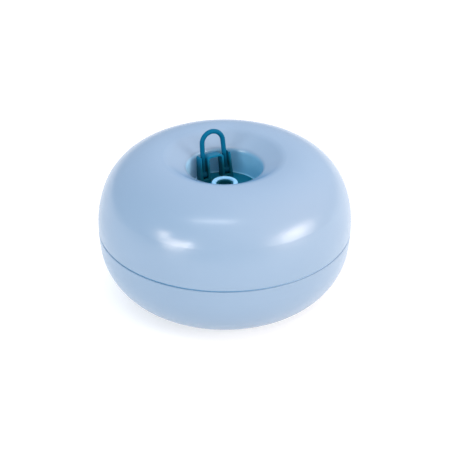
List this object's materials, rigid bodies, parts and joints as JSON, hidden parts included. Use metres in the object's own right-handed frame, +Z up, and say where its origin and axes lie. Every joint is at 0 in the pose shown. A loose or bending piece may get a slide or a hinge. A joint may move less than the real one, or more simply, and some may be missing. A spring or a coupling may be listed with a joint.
{
  "type": "floating chlorine dispenser",
  "caption": "Doughnut-shaped two-shell pool float that holds chlorine tablets, with a turning lock knob and a folding tether loop in its top well.",
  "frame": {"origin": "centre of the foot ring on the ground plane", "axes": "+Z up along the centre tube; the tether loop stands at the back left (-X, +Y), and -Y is the front"},
  "size_m": [0.19, 0.19, 0.1245],
  "materials": {
    "shell_plastic": "gloss",
    "knob_plastic": "satin",
    "inner_plastic": "matte",
    "seal_rubber": "matte",
    "stainless_steel": "satin"
  },
  "bodies": {
    "bowl": {"bowl": "shell_plastic", "centre_tube": "shell_plastic", "tube_liner": "knob_plastic", "tube_washer": "seal_rubber", "shoulder_nut": "knob_plastic", "tablet_grid": "inner_plastic", "seam_gasket": "seal_rubber"},
    "float": {"top_shell": "shell_plastic", "float_pan": "inner_plastic", "outer_pan_seal": "seal_rubber", "inner_pan_seal": "seal_rubber", "pan_screws": "stainless_steel"},
    "knob": {"lock_knob": "knob_plastic", "knob_washer": "inner_plastic", "knob_retainer": "stainless_steel", "loop_pins": "knob_plastic"},
    "loop": {"tether_loop": "knob_plastic"},
    "regulator": {"regulator_disc": "knob_plastic"}
  },
  "joints": [
    {"name": "float_lift", "type": "slide", "parent": "bowl", "child": "float", "axis": [0, 0, 1], "range_m": [0, 0.08]},
    {"name": "knob_turn", "type": "hinge", "parent": "float", "child": "knob", "pos_m": [0, 0, 0.084], "axis": [0, 0, 1], "range_deg": [-75, 0]},
    {"name": "loop_fold", "type": "hinge", "parent": "knob", "child": "loop", "pos_m": [-0.00756, 0.01483, 0.0912], "axis": [0.891, 0.454, 0], "range_deg": [-13, 88]},
    {"name": "regulator_turn", "type": "hinge", "parent": "bowl", "child": "regulator", "pos_m": [0, 0, 0.0076], "axis": [0, 0, 1], "range_deg": [0, 15]}
  ]
}
